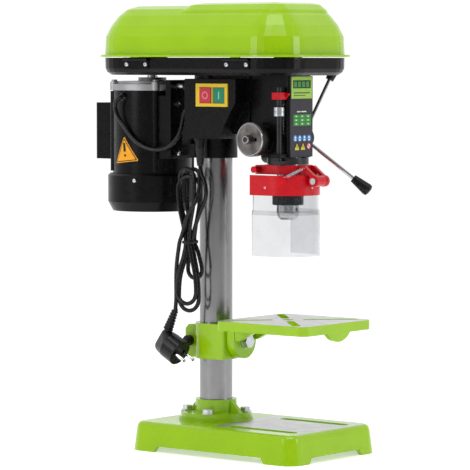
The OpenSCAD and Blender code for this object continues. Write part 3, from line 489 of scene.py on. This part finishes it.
GLOSS = dict(rough=(0.16, 0.26), coat=0.3, dust=0.025)      # the green parts are the glossiest
green_paint = paint("green_paint", GREEN, **GLOSS)
black_paint = paint("black_paint", BLACK, rough=(0.2, 0.34), coat=0.03, peel=1.2, depth=0.04, sheen=0.14)
cast_black = paint("cast_black_paint", BLACK, rough=(0.2, 0.36), coat=0.05, peel=2.4, depth=0.12, edge=1.4,
                   sheen=0.16)
red_paint = paint("red_paint", srgb(198, 12, 28), rough=(0.2, 0.32), peel=1.0, depth=0.02, edge=0.6)


def machined_casting(name, top, zone, slots):
    """Green casting whose top is ground bare inside zone, except a green border round each slot."""
    t = Tree(name)
    mask = t.math("MULTIPLY", t.facing_up(), t.inside("Z", top - 0.5, top + 1))
    (x0, x1), (y0, y1) = zone
    mask = t.math("MULTIPLY", mask, t.math("MULTIPLY", t.inside("X", x0, x1), t.inside("Y", y0, y1)))
    for sx0, sx1, sy0, sy1 in slots:
        hole = t.math("MULTIPLY", t.inside("X", sx0, sx1), t.inside("Y", sy0, sy1))
        mask = t.math("MULTIPLY", mask, t.math("SUBTRACT", 1.0, hole))
    bare = steel_shader(t, MACHINED, rough=(0.34, 0.5), stretch=(1, 0.04, 1), size=0.9, depth=0.02)
    mix = t.node("MixShader", {"Fac": mask})
    t.t.links.new(paint_shader(t, GREEN, **GLOSS), mix.inputs[1])
    t.t.links.new(bare, mix.inputs[2])
    return t.done(mix.outputs[0])


SLOT_X, SLOT_Y = 57, (-187, -72)
SLOT_BORDER = [(side * SLOT_X - 9.6, side * SLOT_X + 9.6, SLOT_Y[0] - 2.6, SLOT_Y[1] + 2.6) for side in (-1,
                                                                                                         1)]
base_finish = machined_casting("base_green_paint", 40, ((-69, 69), (-200, -47)), SLOT_BORDER)
table_finish = machined_casting("table_green_paint", 186, ((-75.6, 75.6), (-213.2, -61.8)), [])

t = Tree("belt_cover_paint")
mix = t.node("MixShader", {"Fac": t.inside("Z", 545.5, 700)})
t.t.links.new(paint_shader(t, BLACK, coat=0.03, sheen=0.14), mix.inputs[1])
t.t.links.new(paint_shader(t, GREEN, **GLOSS), mix.inputs[2])
cover_finish = t.done(mix.outputs[0])

ground_steel = steel("ground_steel", STEEL, stretch=(1, 1, 0.05), size=0.35, depth=0.006, rough=(0.16, 0.28))
column_steel = steel("column_steel", (0.26, 0.26, 0.262), stretch=(1, 1, 0.05), size=0.5, depth=0.006,
                     rough=(0.18, 0.28), stain=0.03)
zinc_steel = steel("zinc_plated_steel", (0.58, 0.60, 0.63), size=1.2, depth=0.03, rough=(0.22, 0.4), edge=0.4)
dark_steel = steel("blackened_steel", (0.05, 0.05, 0.052), size=0.8, depth=0.02, rough=(0.28, 0.42), edge=0.4)
chuck_steel = steel("chuck_steel", (0.6, 0.6, 0.61), stretch=(1, 1, 0.2), size=0.5, depth=0.01,
                    rough=(0.18, 0.3), edge=0.5)
cap_steel = steel("cap_steel", (0.15, 0.14, 0.135), size=1.1, depth=0.12, rough=(0.26, 0.5), edge=0.7,
                  stain=0.4)
chrome = steel("chrome", (0.70, 0.71, 0.73), size=2.5, depth=0.01, rough=(0.06, 0.12), stain=0.02)
cast_alloy = steel("cast_alloy", (0.42, 0.42, 0.43), size=1.0, depth=0.09, rough=(0.42, 0.6), edge=0.6)
turned_alloy = steel("turned_alloy", (0.62, 0.62, 0.64), stretch=(0.1, 0.1, 1), size=0.5, depth=0.02,
                     rough=(0.25, 0.4), edge=0.3)
windings = steel("copper_windings", (0.55, 0.26, 0.12), size=0.7, depth=0.1, rough=(0.35, 0.5))
rubber = plastic("cord_rubber", srgb(13, 13, 14), rough=(0.22, 0.34), grain=0.6, depth=0.015, edge=0.3)
belt_rubber = plastic("belt_rubber", srgb(26, 26, 26), rough=(0.6, 0.8), grain=0.7, depth=0.06, edge=0)
black_plastic = plastic("black_plastic", srgb(12, 12, 13), rough=(0.24, 0.38))
knob_plastic = plastic("knob_plastic", srgb(15, 15, 16), rough=(0.3, 0.45), grain=0.8, depth=0.03, edge=0.8)
yellow_plastic = plastic("yellow_plastic", srgb(226, 190, 40), coat=0.2, edge=0.4)
red_plastic = plastic("red_plastic", srgb(190, 50, 66), coat=0.1, rough=(0.35, 0.5), edge=0.5)
green_plastic = plastic("green_plastic", srgb(32, 128, 96), coat=0.1, rough=(0.35, 0.5), edge=0.5)
panel_print = plastic("panel_print", srgb(50, 48, 56), rough=(0.4, 0.52), grain=0.9, depth=0.01, edge=0.3)


def print_ink(name, colour):
    return plastic(name, colour, rough=(0.38, 0.5), grain=0.7, depth=0.008, edge=0, drift=0.04)


ink = {n: print_ink("print_" + n, srgb(*c)) for n, c in {
    "lime": (160, 200, 84), "dark": (44, 52, 44), "leaf": (64, 150, 62), "pale": (214, 222, 214),
    "blue": (66, 134, 202), "yellow": (226, 212, 60), "red": (206, 52, 60), "white": (232, 232, 234),
    "amber": (240, 164, 24), "black": (28, 24, 20), "pink": (226, 120, 138), "mint": (140, 206, 176)}.items()}

t = Tree("clear_plastic")
clear_plastic = t.done(t.principled(
    Base_Color=t.tint(t.noise(30, 2), (0.76, 0.77, 0.78), (0.80, 0.81, 0.82)), Transmission_Weight=1.0,
                                    IOR=1.30,
    Roughness=t.spread(t.noise(3, 4), 0.03, 0.10), Normal=t.bump(t.noise(14, 2), 0.12)))

BY_SLOT = {"green_paint": green_paint, "black_paint": black_paint, "red_paint": red_paint,
           "bright_steel": ground_steel,
           "dark_steel": dark_steel, "cap_steel": cap_steel, "chrome": chrome, "pulley_alloy": turned_alloy,
           "belt_rubber": belt_rubber, "cord_rubber": rubber, "black_plastic": black_plastic,
           "panel_print": panel_print, "yellow_plastic": yellow_plastic, "red_plastic": red_plastic,
           "green_plastic": green_plastic, "clear_plastic": clear_plastic}
BY_NODE = {"base_casting": base_finish, "belt_cover": cover_finish, "depth_rod": dark_steel,
           "table_plate": table_finish, "column_tube": column_steel,
           "head_casting": cast_black, "motor_top_bell": cast_alloy, "chuck_body": chuck_steel,
           "tilt_bolt": zinc_steel, "depth_nuts": zinc_steel, "depth_scale": dark_steel,
           "guard_pin": zinc_steel,
           "flange_bolts": zinc_steel, "motor_stator": windings, "lever_knobs": knob_plastic}
slot_of = {p["node"]: p["material_slot"] for p in frame["record"]["subparts"]}
for name, node in NODES.items():
    finish = BY_NODE.get(name, BY_SLOT[slot_of[name]])
    for s in node.material_slots:
        s.material = finish


def dress(piece, material):
    piece.data.materials.append(material)
    return piece


dress(mains_lead, rubber)
dress(tie_band, black_plastic)
dress(tie_head, black_plastic)
dress(plug_pins, chrome)
dress(plug_face, rubber)
dress(plug_rings, rubber)
dress(motor_whip, rubber)
dress(whip_grommet, rubber)


# ------------------------------------------------------------------ printed panel and labels

PANEL_Y = -150.6


def printed(name, shapes, ink_name, lift=0.0, thick=0.22):
    """Shapes given in mm across the front panel (x, z) as one thin printed piece."""
    bm = bmesh.new()
    for shape in shapes:
        plate_into(bm, shape, at(0, PANEL_Y - lift, 0), X, Z, thick, 0.05)
    return add(name, bm, "stand", ink[ink_name])


printed("panel_title_field", [rect(-23, 489.6, 23, 519.4, 0.8)], "lime")
printed("panel_title_window", [rect(-19.6, 503.4, 19.6, 514.4, 0.5)], "dark", 0.2)
printed("panel_title_marks", [rect(x, 505.2, x + 6.2, 512.6, 0.5) for x in (-17.6, -8.6, 0.4, 9.4)], "leaf",
        0.4, 0.12)
printed("panel_title_rule", [rect(-17.6, 496.6, 18, 498.0, 0.3), rect(-17.6, 493.4, 8, 494.4, 0.3)], "dark",
        0.2, 0.12)
printed("speed_table_heading", [rect(-10.6, 471, -2.4, 472.6, 0.4), rect(-0.8, 471, 10, 472.6, 0.4)], "pale")
cells = [rect(-18.4 + 13.2 * c, 463.2 - 5.2 * r, -6.2 + 13.2 * c, 467.8 - 5.2 * r, 0.4)
         for r in range(3) for c in range(3)]
printed("speed_table_cells", cells, "leaf")
printed("speed_table_marks", [rect(-14.0 + 13.2 * c, 464.7 - 5.2 * r, -10.6 + 13.2 * c, 466.3 - 5.2 * r, 0.3)
                              for r in range(3) for c in range(3)], "pale", 0.2, 0.12)
DISC_X = [-14.4, -4.4, 6.0, 16.2]
printed("duty_discs", [circle(4.5, x, 435.6) for x in DISC_X], "blue")
heads = [circle(1.7, x, 436.8, 16) for x in DISC_X]
printed("duty_disc_marks", heads + [rect(x - 2.2, 432.4, x + 2.2, 434.2, 0.6) for x in DISC_X], "white", 0.2,
        0.12)
printed("caution_triangles", [triangle(9.8, 8.8, x, 424.2) for x in (-10.4, 2.8)], "yellow")
printed("caution_triangle_marks", [rect(x - 0.6, 421.6, x + 0.6, 425.8, 0.3) for x in (-10.4, 2.8)], "black",
        0.2, 0.12)
printed("ban_disc", [circle(4.4, 15.6, 424.6)], "red")
printed("ban_disc_field", [circle(3.0, 15.6, 424.6)], "white", 0.2, 0.12)
printed("ban_disc_bar", [[(13.2, 426.0), (14.2, 427.0), (18.0, 423.2), (17.0, 422.2)]], "red", 0.3, 0.12)

# amber triangle on the motor's side, bent to its round wall
MOTOR_Y, MOTOR_R = 116.5, 56


def on_motor(outline, name, ink_name, lift, thick=0.2):
    """An outline, in mm along the wall and up from the label's middle, in strips bent round the motor."""
    bm = bmesh.new()
    bm.faces.new([bm.verts.new((x, 0, z)) for x, z in outline])
    for x in range(-24, 25, 2):
        everything = bm.verts[:] + bm.edges[:] + bm.faces[:]
        bmesh.ops.bisect_plane(bm, geom=everything, plane_co=(x, 0, 0), plane_no=(1, 0, 0))
    bmesh.ops.solidify(bm, geom=bm.faces[:], thickness=thick)
    for v in bm.verts:
        a = math.radians(LABEL_ANGLE) + v.co.x / MOTOR_R
        r = MOTOR_R + lift + abs(v.co.y)
        v.co = at(r * math.cos(a), MOTOR_Y + r * math.sin(a), LABEL_Z + v.co.z)
    return add(name, bm, "motor", ink[ink_name], smooth=False)


def rounded(corners, r=1.6):
    pts = []
    for i, c in enumerate(corners):
        p, a, b = Vector(c), Vector(corners[i - 1]), Vector(corners[(i + 1) % len(corners)])
        for w in (0, 0.5, 1):
            pull = (a - p).normalized() * (1 - w) + (b - p).normalized() * w
            pts.append(tuple(p + pull * r))
    return pts


def shrunk(corners, k):
    mid = Vector((sum(c[0] for c in corners) / 3, sum(c[1] for c in corners) / 3))
    return [tuple(mid + (Vector(c) - mid) * k) for c in corners]


LABEL_ANGLE, LABEL_Z = 179, 415
LABEL = [(-22.5, -18.9), (21.1, -14.4), (-3.4, 19.5)]
on_motor(rounded(LABEL), "caution_label_edge", "amber", 0.05, 0.2)
on_motor(rounded(shrunk(LABEL, 0.90), 1.2), "caution_label_line", "black", 0.26, 0.08)
on_motor(rounded(shrunk(LABEL, 0.80), 1.0), "caution_label_field", "amber", 0.35, 0.08)
MARK = [(-4.4, -2.4), (0.2, -1.4), (-1.4, 10.6), (-5.2, 10.0)]
on_motor(rounded(MARK, 0.7), "caution_label_mark", "black", 0.44, 0.08)
on_motor([(x * 1.9 - 1.6, z * 1.9 - 7.2) for x, z in circle(1, n=14)], "caution_label_dot", "black", 0.44,
         0.08)

# ------------------------------------------------------------------ small fittings


def screw(bm, origin, axis, r=3.2, h=1.8, recess=True):
    """A domed screw head with a cross or hex recess shown as a sunk cup."""
    profile = [(0, -0.4), (r, -0.4), (r, h * 0.35), (r * 0.86, h * 0.75), (r * 0.62, h)]
    profile += [(r * 0.46, h), (r * 0.40, h * 0.4), (0, h * 0.4)] if recess else [(0, h * 1.08)]
    lathe_into(bm, profile, origin, axis, 24)


bm = bmesh.new()
for y in (87, 53, -91, -125):
    screw(bm, at(-89.2, y, 536), -X, 3.3, 2.0)
add("hinge_screws", bm, "stand", zinc_steel)

bm = bmesh.new()
a = math.radians(-163.3)
for k in range(3):
    turn = a + k * 2 * math.pi / 3
    d = Vector((math.cos(turn), math.sin(turn), 0))
    screw(bm, at(63 * d.x, MOTOR_Y + 63 * d.y, 373), d, 2.9, 1.7)
add("fan_cover_screws", bm, "motor", zinc_steel)

# return spring: bright rim on its cap, dark shaft end inside a bright nut face
lo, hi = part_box("spring_cap")
y, z = (lo.y + hi.y) / 2, (lo.z + hi.z) / 2
cap_x = COLUMN.x - 51.5 / 1000
bm = bmesh.new()
lathe_into(bm, [(20.9, -0.3), (21.1, 0.5), (22.1, 0.5), (22.4, -0.3)], Vector((cap_x, y, z)), -X, 48)
lathe_into(bm, [(4.3, -0.3), (4.3, 0.45), (5.2, 0.45), (5.5, -0.3)], Vector((cap_x - 0.0095, y, z)), -X, 24)
add("spring_cap_rims", bm, "stand", chrome)
bm = bmesh.new()
lathe_into(bm, [(0, 0.3), (3.3, 0.3), (4.02, -0.3), (4.02, -0.8), (3.6, -0.8)],
           Vector((cap_x - 0.0105, y, z)), -X, 24)
add("feed_shaft_end", bm, "feed", dark_steel)

GUARD_R = 44
bm = bmesh.new()
for angle, z in ((-93.4, 369), (172.4, 368.7), (-38, 369), (7.6, 368.7)):
    d = Vector((math.cos(math.radians(angle)), math.sin(math.radians(angle)), 0))
    screw(bm, at(GUARD_R * d.x, SPINDLE_Y + GUARD_R * d.y, z), d, 1.9, 1.1)
add("guard_screws", bm, "guard", zinc_steel)

# switch marks: a ring on stop, a bar on start
lo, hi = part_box("stop_button")
mid = (lo + hi) / 2
bm = bmesh.new()
plate_into(bm, circle(5.4), Vector((lo.x, mid.y, mid.z)), -Y, Z, 0.25, 0.06, hole=circle(3.5))
add("stop_mark", bm, "stop", ink["pink"])
lo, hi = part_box("start_button")
mid = (lo + hi) / 2
bm = bmesh.new()
plate_into(bm, rect(-0.9, -5.2, 0.9, 5.2, 0.5), Vector((lo.x, mid.y, mid.z)), -Y, Z, 0.25, 0.06)
add("start_mark", bm, "start", ink["mint"])

# depth scale: ticks every 2 mm, longer every 10
lo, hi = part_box("depth_scale")
bm = bmesh.new()
for k in range(21):
    long = 2.6 if k % 5 == 0 else 1.5
    z = lo.z * 1000 + 4 + 2 * k
    place = Vector((lo.x, (lo.y + hi.y) / 2, z / 1000))
    plate_into(bm, rect(-2.7, -0.22, -2.7 + long, 0.22, 0.1), place, -Y, Z, 0.14, 0.04)
add("depth_scale_ticks", bm, "stand", ink["white"])

# guard's extension spring: a real coil with a hook at each end
a, b = Vector((-39.8, -156.4, 384.4)), Vector((-16.5, -164.5, 394.5))
axis = (b - a).normalized()
u = axis.orthogonal().normalized()
w = axis.cross(u)
TURNS, COIL_R, WIRE_R = 17, 1.75, 0.42
coil = [a - axis * 4.4 + u * 1.2, a - axis * 3.4 + w * 1.6, a - axis * 1.4 + w * 0.8]
steps = TURNS * 14
for k in range(steps + 1):
    ang = 2 * math.pi * k / 14
    coil.append(a + (b - a) * (k / steps) + (u * math.cos(ang) + w * math.sin(ang)) * COIL_R)
coil += [b + axis * 1.2 + u * 0.8, b + axis * 2.2 + u * 0.2, b + axis * 2.8 - u * 1.4]
bm = bmesh.new()
sweep_into(bm, [at(*p) for p in coil], WIRE_R / 1000, 8)
guard_coil = add("guard_coil_spring", bm, "quill", zinc_steel)
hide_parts("guard_spring")

# ------------------------------------------------------------------ floor and light

FLOOR_SIZE = 4.0
bm = bmesh.new()
bmesh.ops.create_grid(bm, x_segments=2, y_segments=2, size=FLOOR_SIZE)
floor = add("floor", bm, None, smooth=False)
t = Tree("floor")
floor.data.materials.append(t.done(t.principled(Base_Color=t.tint(t.noise(300, 2), (0.86,) * 3, (0.88,) * 3),
                                                Roughness=t.spread(t.noise(80), 0.5, 0.6),
                                                Specular_IOR_Level=0.1,
                                                Emission_Color=(1, 1, 1, 1), Emission_Strength=0.42)))

world = bpy.data.worlds.new("studio")
bpy.context.scene.world = world
world.use_nodes = True
nodes, links = world.node_tree.nodes, world.node_tree.links
backdrop = nodes["Background"]
backdrop.inputs[0].default_value = (1, 1, 1, 1)
where, facing, level = (nodes.new("ShaderNode" + kind) for kind in ("TexCoord", "VectorMath", "MapRange"))
facing.operation = "DOT_PRODUCT"
# bright behind the machine, dim on the camera's side
facing.inputs[1].default_value = (0.7786, 0.6276, 0.0)
for socket, value in (("From Min", -0.9), ("From Max", 0.75), ("To Min", 0.16), ("To Max", 1.05)):
    level.inputs[socket].default_value = value
links.new(where.outputs["Generated"], facing.inputs[0])
links.new(facing.outputs["Value"], level.inputs["Value"])
links.new(level.outputs[0], backdrop.inputs[1])


def softbox(name, place, target, size, power):
    light = bpy.data.lights.new(name, "AREA")
    light.shape, light.size, light.size_y, light.energy = "RECTANGLE", size[0], size[1], power
    lamp = bpy.data.objects.new(name, light)
    lamp.location = place
    lamp.rotation_euler = (Vector(target) - Vector(place)).to_track_quat("-Z", "Y").to_euler()
    bpy.context.scene.collection.objects.link(lamp)


CENTRE = (0, 0, 0.35)
softbox("left_box", (-2.2, 0.6, 1.2), CENTRE, (0.7, 1.6), 15)
softbox("right_box", (0.8, -2.4, 1.1), CENTRE, (0.7, 1.6), 13)
softbox("top_box", (-0.5, -0.5, 2.6), CENTRE, (1.6, 1.6), 26)
